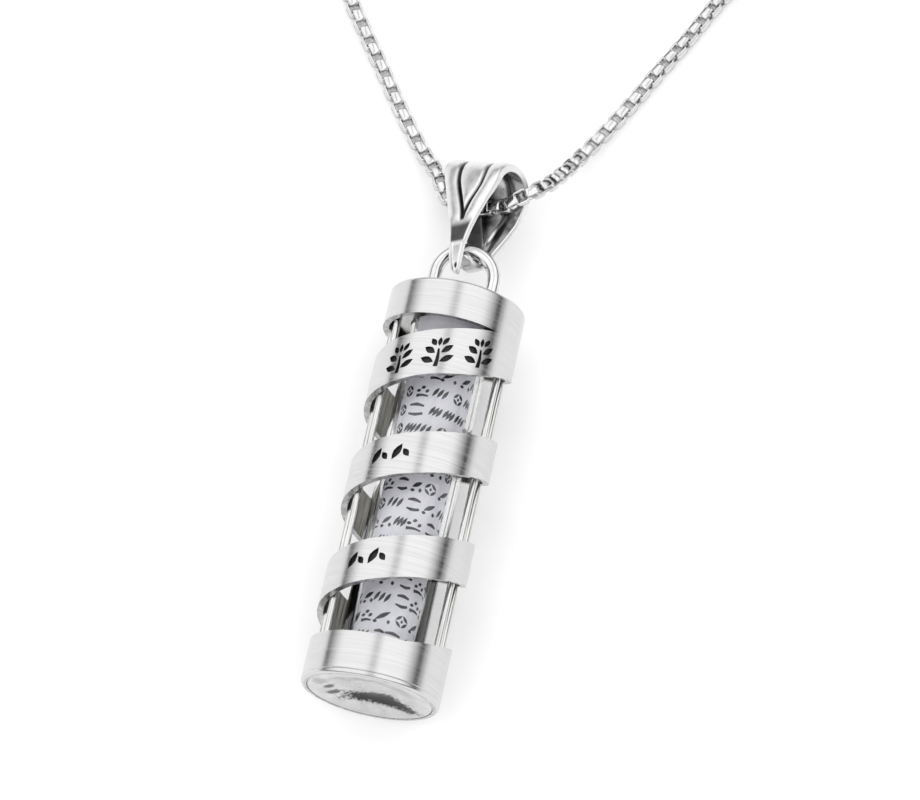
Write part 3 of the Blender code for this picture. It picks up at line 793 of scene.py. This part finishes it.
def engraving_mesh():
    """Return the cutters of the band's ornament: three sprigs above, pairs of buds below."""
    bm = bmesh.new()
    inner = CASE_RADIUS - ENGRAVING_DEPTH
    outer = CASE_RADIUS + 0.2 * MM
    slope = BAND_PITCH / (2.0 * math.pi * CASE_RADIUS)
    for angle in SPRIG_ANGLES:
        low, high = band_edges(angle)
        for edges in sprig():
            wrapped_stroke(bm, edges, angle, (low + high) / 2.0 - 0.05 * MM, inner, outer, slope)
    for angle in BUD_ANGLES:
        low, high = band_edges(angle)
        for edges in (lens(1.25, 0.62, 62.0, (-0.2, 0.0)), lens(0.8, 0.44, 128.0, (0.5, -0.16))):
            wrapped_stroke(bm, edges, angle, (low + high) / 2.0 + 0.2 * MM, inner, outer, slope)
    return solids_mesh(bm, "engraving")


def set_skin_normals(mesh):
    """Shade the skins by the true cylinder and the sawn walls flat, whatever their corners share."""
    bore = CASE_RADIUS - CASE_WALL
    normals = [Vector(corner.vector) for corner in mesh.corner_normals]
    for polygon in mesh.polygons:
        reaches = [math.hypot(*mesh.vertices[index].co.xy) for index in polygon.vertices]
        if min(reaches) > CASE_RADIUS - SKIN_TOLERANCE:
            way = 1.0
        elif max(abs(reach - bore) for reach in reaches) < SKIN_TOLERANCE:
            way = -1.0
        elif polygon.material_index == 2 and max(reaches) - min(reaches) > 0.5 * CASE_WALL:
            for corner in polygon.loop_indices:
                normals[corner] = polygon.normal
            continue
        else:
            continue
        for corner in polygon.loop_indices:
            point = mesh.vertices[mesh.loops[corner].vertex_index].co
            normals[corner] = Vector((point.x, point.y, 0.0)).normalized() * way
    mesh.normals_split_custom_set(normals)


def apply_modifiers(obj):
    """Replace an object's mesh by its evaluated mesh."""
    evaluated = obj.evaluated_get(bpy.context.evaluated_depsgraph_get())
    mesh = bpy.data.meshes.new_from_object(evaluated)
    obj.modifiers.clear()
    obj.data = mesh


def round_shell(mesh):
    """Cut the seam near the end, and round the outer ends softly and the other edges a little."""
    bm = bmesh.new()
    bm.from_mesh(mesh)
    for vertex in bm.verts:
        reach = math.hypot(*vertex.co.xy)
        if abs(vertex.co.z - SEAM_HEIGHT) < SKIN_TOLERANCE and reach > CASE_RADIUS - SKIN_TOLERANCE:
            vertex.co.xy *= (reach - SEAM_GROOVE) / reach

    def at_end(vertex):
        return (math.hypot(*vertex.co.xy) > CASE_RADIUS - SKIN_TOLERANCE
                and min(vertex.co.z, CASE_LENGTH - vertex.co.z) < SKIN_TOLERANCE)

    ends = [edge for edge in bm.edges if all(at_end(vertex) for vertex in edge.verts)
            and edge.calc_face_angle(0.0) > math.radians(50.0)]
    bmesh.ops.bevel(bm, geom=ends, offset=END_ROUNDING, segments=6, profile=0.5, affect="EDGES")
    edges = [edge for edge in bm.edges if edge.calc_face_angle(0.0) > math.radians(50.0)]
    bmesh.ops.bevel(bm, geom=edges, offset=EDGE_ROUNDING, segments=3, profile=0.5, affect="EDGES",
                    material=2, clamp_overlap=True)
    bm.to_mesh(mesh)
    bm.free()
    mesh.shade_smooth()


def add_shell(materials):
    """Make the spiral case with rounded edges and engraved ornament."""
    vertices, faces = shell_sheet()
    mesh = mesh_from("case_spiral", vertices, faces)
    shell = add_piece("case_spiral", mesh, CASE_FRAME, "case",
                      [materials["satin"], materials["inside"], materials["rim"], materials["oxide"]],
                      ["spiral_shell"])
    thick = shell.modifiers.new("Wall", "SOLIDIFY")
    thick.thickness = CASE_WALL
    thick.offset = -1.0
    thick.material_offset = 1
    thick.material_offset_rim = 2
    apply_modifiers(shell)
    round_shell(shell.data)
    cutter_mesh = engraving_mesh()
    cutter_mesh.materials.append(materials["oxide"])
    cutter = bpy.data.objects.new("engraving_cutter", cutter_mesh)
    bpy.context.scene.collection.objects.link(cutter)
    cutter.matrix_world = CASE_FRAME
    cut = shell.modifiers.new("Engrave", "BOOLEAN")
    cut.operation = "DIFFERENCE"
    cut.object = cutter
    cut.solver = "EXACT"
    cut.material_mode = "TRANSFER"
    apply_modifiers(shell)
    bpy.data.objects.remove(cutter, do_unlink=True)
    shell.data.set_sharp_from_angle(angle=math.radians(40.0))
    set_skin_normals(shell.data)


def node_span(node):
    """Return a CAD node's radius and its lowest and highest place along the case's axis."""
    low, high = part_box(node)
    return (high.x - low.x) / 2.0, low.y - SHELL_LOW.y, high.y - SHELL_LOW.y


def dish_painted_reflection_and_spots(point):
    """Return how dark the dish is at a point in millimetres: one painted dark reflection across the
    bowl and two spots.
    """
    rough = 0.3 * noise.noise(point * 0.9) + 0.35 * noise.noise(point * 5.0)
    dark = 0.0
    for x, y, wide, tall, strength in DISH_PAINTED_REFLECTION_AND_SPOTS:
        away = math.hypot((point.x - x) / wide, (point.y - y - 0.05 * (point.x - x) ** 2) / tall)
        dark = max(dark, strength * (1.0 - ease((away + rough - 0.7) / 0.5)))
    return dark


def add_turned_parts(materials):
    """Make the plates, seats and vial that are turned about the case's axis."""
    radius, low, high = node_span("top_plate")
    crown = [(0.0, high), (radius * 0.6, high), (radius - 0.05 * MM, high), (radius, high - 0.05 * MM),
             (radius, low), (0.0, low)]
    plate = add_piece("closing_plate", lathe_mesh("closing_plate", crown, PLATE_STEPS), CASE_FRAME,
                      "case", [materials["polished"]], ["top_plate"])
    add_bevel(plate, 0.03 * MM)

    radius, low, high = node_span("end_plug")
    dish = [(0.0, high), (radius, high), (radius, low + 0.04 * MM), (radius - 0.04 * MM, low)]
    for row in range(DISH_ROWS + 1):
        share = 0.965 * (1.0 - row / DISH_ROWS)
        bowl = DISH_DEPTH * (1.0 - ease((share - 0.3) / 0.67))
        dish.append((radius * share, low + bowl))
    mesh = lathe_mesh("plug_dish", dish, DISH_STEPS)
    add_piece("plug_dish", mesh, CASE_FRAME, "vial_plug", [materials["dish"]],
              ["end_plug"])
    # The dish's darkness attribute: a painted dark reflection in the bowl, and spots.
    shade = mesh.attributes.new("tarnish_and_painted_shade", "FLOAT", "POINT")
    shade.data.foreach_set("value", [dish_painted_reflection_and_spots(vertex.co / MM) for vertex in mesh.vertices])

    for name, node, body in (("vial_seat_upper", "upper_seat", "case"),
                             ("vial_seat_lower", "lower_seat", "vial_plug")):
        radius, low, high = node_span(node)
        bore = node_span("glass_vial")[0] + 0.02 * MM
        ring = [(radius, low), (radius, high), (bore + 0.25 * MM, high), (bore, high - 0.2 * MM),
                (bore, low)]
        seat = add_piece(name, lathe_mesh(name, ring, SEAT_STEPS, closed=True), CASE_FRAME, body,
                         [materials["wire"]], [node])
        add_bevel(seat, 0.06 * MM)

    radius, low, high = node_span("glass_vial")
    bore = radius - VIAL_WALL
    bottom, top = low + VIAL_LIP, high - VIAL_LIP
    tube = [(radius, bottom), (radius, top)]
    for level, first in ((top, 0.0), (bottom, 180.0)):
        for index in range(1, 8):
            turn = math.radians(first + 180.0 * index / 8.0)
            tube.append(((radius + bore) / 2.0 + VIAL_WALL / 2.0 * math.cos(turn),
                         level + VIAL_LIP * math.sin(turn)))
        if level == top:
            tube += [(bore, top), (bore, bottom)]
    add_piece("vial_tube", lathe_mesh("vial_tube", tube, VIAL_STEPS, closed=True), CASE_FRAME,
              "vial_plug", [materials["glass"]], ["glass_vial"])


def add_struts(materials):
    """Make the tie wires inside the band, each a little out of true."""
    for number in range(1, 5):
        node = f"strut_{number}"
        low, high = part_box(node)
        radius = (high.x - low.x) / 2.0
        points = []
        for step in range(25):
            share = step / 24.0
            sway = 0.02 * MM * math.sin(math.pi * share) * math.sin(5.0 * share + number)
            points.append(Vector(((low.x + high.x) / 2.0 + sway, low.y + (high.y - low.y) * share,
                                  (low.z + high.z) / 2.0)))
        inverse = CASE_FRAME.inverted()
        vertices, faces = tube_data([inverse @ point for point in points], radius, 20)
        wire = add_piece(f"tie_wire_{number}", mesh_from(f"tie_wire_{number}", vertices, faces),
                         CASE_FRAME, "case", [materials["wire"]], [node])
        add_bevel(wire, 0.06 * MM)


def add_loop(materials):
    """Make the hanging loop, with a fillet of solder at each foot."""
    low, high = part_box("hanging_loop")
    wire = (high.z - low.z) / 2.0
    radius = (high.x - low.x) / 2.0 - wire
    centre = high.y - wire - radius
    leg = levels_between(low.y, centre, 8)[:-1]
    points = [Vector((radius, height, CASE_MIDDLE.z)) for height in leg]
    for step in range(37):
        angle = math.radians(5.0 * step)
        points.append(Vector((radius * math.cos(angle), centre + radius * math.sin(angle),
                              CASE_MIDDLE.z)))
    points += [Vector((-radius, height, CASE_MIDDLE.z)) for height in reversed(leg)]
    vertices, faces = tube_data(points, wire, LOOP_SIDES)
    for index, vertex in enumerate(vertices):
        foot = points[index // LOOP_SIDES]
        flare = 0.22 * MM * (1.0 - ease((foot.y - low.y) / (0.55 * MM)))
        vertices[index] = vertex + (vertex - foot).normalized() * flare
    loop = add_piece("loop_wire", mesh_from("loop_wire", vertices, faces), Matrix.Identity(4), "case",
                     [materials["polished"]], ["hanging_loop"])
    add_bevel(loop, 0.03 * MM)


# ---- scroll

def scroll_radius(angle):
    """Return the rolled sheet's outer radius at an angle in degrees past its free edge."""
    return node_span("scroll")[0] - SCROLL_PITCH * angle / 360.0


def add_scroll_sheet(materials):
    """Make the rolled sheet."""
    _, low, high = node_span("scroll")
    steps = 120 * 3
    outside, inside = [], []
    for index in range(steps + 1):
        turn = 3.0 * index
        radius = scroll_radius(turn)
        outside.append((SCROLL_EDGE + turn, radius))
        inside.append((SCROLL_EDGE + turn, radius - SCROLL_SHEET))
    loop = outside + list(reversed(inside))
    levels = levels_between(low, high, 12)
    vertices = []
    for level in levels:
        vertices += [case_point(angle, level, radius) for angle, radius in loop]
    count = len(loop)
    faces = grid_faces(len(levels), count)
    for base in (0, (len(levels) - 1) * count):
        for index in range(steps):
            faces.append((base + index, base + index + 1, base + count - 2 - index,
                          base + count - 1 - index))
    add_piece("scroll_sheet", mesh_from("scroll_sheet", vertices, faces), CASE_FRAME, "vial_plug",
              [materials["parchment"]], ["scroll"])


def add_scroll_marks(materials):
    """Make the rows of abstract pen marks on the sheet."""
    _, low, high = node_span("scroll")
    rng = random.Random(ORNAMENT_SEED)
    bm = bmesh.new()
    rows = int((high - low - SCROLL_BLANK) / SCROLL_ROW_PITCH)
    for row in range(rows):
        level = low + SCROLL_MARGIN + row * SCROLL_ROW_PITCH
        turn = 8.0 + rng.uniform(0.0, 8.0)
        while turn < 340.0:
            radius = scroll_radius(turn)
            wide = rng.uniform(0.7, 1.15)
            for edges in pen_mark(rng, wide):
                wrapped_stroke(bm, edges, SCROLL_EDGE + turn, level, radius - 0.02 * MM,
                               radius + 0.01 * MM)
            turn += math.degrees((wide + rng.uniform(0.2, 0.4)) * MM / radius)
    add_piece("scroll_marks", solids_mesh(bm, "scroll_marks"), CASE_FRAME, "vial_plug",
              [materials["ink"]], [])


def pen_mark(rng, wide):
    """Return the strokes of one abstract mark: dashes, rosettes, ticks and dots, and no letter."""
    kind = rng.randrange(5)
    half = wide / 2.0
    if kind == 0:
        return [stroke([(-half, 0.34), (0.0, 0.4), (half, 0.3)], (0.14, 0.26, 0.14)),
                stroke([(-half, -0.3), (0.0, -0.38), (half, -0.28)], (0.12, 0.24, 0.18))]
    if kind == 1:
        corners = [(-half * 0.9, 0.0), (0.0, 0.46), (half * 0.9, 0.0), (0.0, -0.46)]
        sides = []
        for start, end in zip(corners, corners[1:] + corners[:1]):
            along = Vector(end) - Vector(start)
            turn = math.degrees(math.atan2(along.y, along.x))
            sides.append(lens(along.length * 0.86, 0.22, turn, (Vector(start) + Vector(end)) / 2.0))
        return sides + [lens(0.24, 0.2, 90.0, (0.0, 0.0))]
    if kind == 2:
        dots = [lens(0.34, 0.26, 30.0 + 50.0 * place, (place * wide, 0.3 * math.cos(4.0 * place)))
                for place in (-0.36, 0.0, 0.36)]
        return dots + [stroke([(-half, -0.36), (0.0, -0.3), (half, -0.34)], (0.24, 0.18, 0.12))]
    if kind == 3:
        return [lens(0.8, 0.26, 62.0, (place * wide, 0.03 - 0.1 * place))
                for place in (-0.34, 0.0, 0.34)]
    return [lens(wide * 1.05, 0.32, 35.0, (0.0, 0.1)), lens(0.32, 0.26, 0.0, (-half + 0.1, -0.36)),
            lens(0.32, 0.24, 90.0, (half - 0.1, -0.3))]


# ---- bail

def bail_path():
    """Return the strip's fine middle line as (along, outward, width) vectors in millimetres."""
    path = [Vector(point) for point in BAIL_FRONT]
    for step in range(13):
        turn = math.radians(15.0 * step)
        path.append(Vector((BAIL_TOP_CENTRE + BAIL_TOP_RADIUS * math.sin(turn),
                            BAIL_TOP_RADIUS * math.cos(turn), 5.2 + 0.5 * math.sin(turn))))
    path += [Vector(point) for point in BAIL_BACK]
    depth, half, width = BAIL_EYE
    for step in range(9):
        turn = math.radians(-80.0 + 15.0 * step)
        path.append(Vector((-depth * math.cos(turn), half * math.sin(turn), width)))
    return smooth_points(path, 14)


def nose(distance, reach):
    """Return how far a rounded end has opened, 0 to 1, at a distance from its point."""
    share = min(distance / reach, 1.0)
    return math.sqrt(max(1.0 - (1.0 - share) ** 2, 0.0))


def flutes(side, along, outward, width):
    """Return the relief of the strip's face in millimetres and its darkness, at side in -1 to 1:
    tarnish in the grooves and the pit, and painted shade across the neck.
    """
    front = outward > 0.0
    spread = ease((along - 1.2) / 4.2) if front else ease((along - 0.6) / 4.5)
    depth = 0.26 * ease((along - 1.3) / 0.8)
    reach = 0.5 * width
    height = 0.0
    darkness = 0.0
    for centre in (-0.42 * spread, 0.5 * spread):
        away = abs(side - centre) * reach
        height = min(height, -depth * (1.0 - ease(away / 0.27)))
        darkness = max(darkness, ease(depth / 0.2) * (1.0 - ease((away - 0.12) / 0.1)))
    lobes = ((-1.0, -0.42 * spread), (-0.42 * spread, 0.5 * spread), (0.5 * spread, 1.0))
    for low, high in lobes:
        if low <= side < high:
            place = (side - low) / (high - low)
            height += 0.45 * depth * math.sin(math.pi * place) * min(1.0, (high - low) / 0.5)
    if front and along < -0.3:
        flat = ease((-0.3 - along) / 0.35)
        rim = ease((abs(side) - 0.5) / 0.25)
        height += flat * (0.1 * rim - 0.1 * (1.0 - rim))
        pit = math.hypot(along + 2.15, 1.4 * side * reach)
        height -= 0.14 * (1.0 - ease(pit / 0.25))
        darkness = max(darkness, 1.0 - ease((pit - 0.1) / 0.15))
    # Painted shade: a dark band across the smooth neck of the front leaf.
    if front:
        neck = ease((along + 0.5) / 0.3) * (1.0 - ease((along - 0.9) / 0.5))
        darkness = max(darkness, 0.85 * neck * (1.0 - ease((abs(side) - 0.7) / 0.25)))
    return height, darkness


def inner_painted_reflection(side):
    """Return how dark the strip's inner face is, at side in -1 to 1: two bands of painted dark
    reflection.
    """
    wide = 1.0 - ease((side + 0.25) / 0.4)
    narrow = ease((side - 0.25) / 0.12) * (1.0 - ease((side - 0.55) / 0.15))
    return max(0.94 * wide, 0.9 * narrow)


def bail_row(path, index, travelled, vertices, tarnish_and_painted_shade):
    """Add the strip's cross-section at a point of its path: its points and how dark each is."""
    along, outward, width = path[index]
    width *= nose(travelled[index] + 0.02, 0.35) * nose(travelled[-1] - travelled[index] + 0.02, 0.5)
    before = path[max(index - 1, 0)]
    after = path[min(index + 1, len(path) - 1)]
    tangent = Vector((after[0] - before[0], after[1] - before[1])).normalized()
    normal = Vector((-tangent.y, tangent.x))
    half = width / 2.0
    rounding = min(BAIL_EDGE, half)
    last = BAIL_COLUMNS - 1
    sides = [math.sin(math.pi / 2.0 * (2.0 * column / last - 1.0)) for column in range(BAIL_COLUMNS)]
    for face in (1.0, -1.0):
        for side in (sides if face > 0.0 else reversed(sides)):
            edge = half * (1.0 - abs(side))
            drop = 0.0
            if edge < rounding:
                drop = rounding - math.sqrt(max(rounding ** 2 - (rounding - edge) ** 2, 0.0))
            relief, darkness = flutes(side, along, outward, width)
            rim = BAIL_STRIP / 2.0 + 0.1 * ease((along - 3.0) / 3.0) * ease(side)
            level = face * (rim - drop) + relief * (1.0 if face > 0.0 else 0.6)
            lean = -BAIL_SKEW * (side * half - BAIL_SKEW_CENTRE) * ease((along - 0.8) / 5.0)
            vertices.append(Vector((side * half, along + normal.x * level + lean,
                                    outward + normal.y * level)) * MM)
            # Outer face: tarnish in the grooves and pit, painted shade at the neck; inner face:
            # painted reflection bands.
            tarnish_and_painted_shade.append(0.98 * darkness if face > 0.0 else inner_painted_reflection(side))


def add_bail(materials):
    """Make the folded and fluted strip that hangs on the chain and holds the loop."""
    low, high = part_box("hanging_loop")
    wire = (high.z - low.z) / 2.0
    place = (Matrix.Translation((0.0, high.y - wire, CASE_MIDDLE.z))
             @ Matrix.Rotation(math.radians(-BAIL_DROOP), 4, "X")
             @ Matrix.Rotation(math.radians(-BAIL_YAW), 4, "Y"))
    path = bail_path()
    travelled = [0.0]
    for start, end in zip(path, path[1:]):
        travelled.append(travelled[-1] + (end - start).xy.length)
    vertices, tarnish_and_painted_shade = [], []
    for index in range(len(path)):
        bail_row(path, index, travelled, vertices, tarnish_and_painted_shade)
    ring = 2 * BAIL_COLUMNS
    faces = grid_faces(len(path), ring) + end_faces(len(path), ring)
    mesh = bpy.data.meshes.new("bail_leaf")
    mesh.from_pydata(vertices, [], faces)
    bm = bmesh.new()
    bm.from_mesh(mesh)
    bmesh.ops.recalc_face_normals(bm, faces=bm.faces)
    bm.to_mesh(mesh)
    bm.free()
    mesh.shade_smooth()
    mesh.set_sharp_from_angle(angle=math.radians(60.0))
    # Per-point darkness: tarnish, painted shade and painted reflections.
    shade = mesh.attributes.new("tarnish_and_painted_shade", "FLOAT", "POINT")
    shade.data.foreach_set("value", tarnish_and_painted_shade)
    add_piece("bail_leaf", mesh, place, "chain_and_bail", [materials["tarnish_and_painted_shade"]],
              ["bail"])


# ---- chain fittings

def paint_cad_nodes(materials):
    """Give the CAD nodes that stay in view their detailed materials."""
    finishes = {"clasp_ring": "polished", "clasp_bolt": "polished", "clasp_spring": "steel"}
    for node, finish in finishes.items():
        for material_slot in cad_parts[node].material_slots:
            material_slot.material = materials[finish]


def build():
    """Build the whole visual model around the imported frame."""
    add_camera()
    add_floor()
    add_world()
    materials = make_materials()
    add_chains(materials, add_end_fittings(materials))
    add_shell(materials)
    add_turned_parts(materials)
    add_struts(materials)
    add_loop(materials)
    add_scroll_sheet(materials)
    add_scroll_marks(materials)
    add_bail(materials)
    paint_cad_nodes(materials)


build()
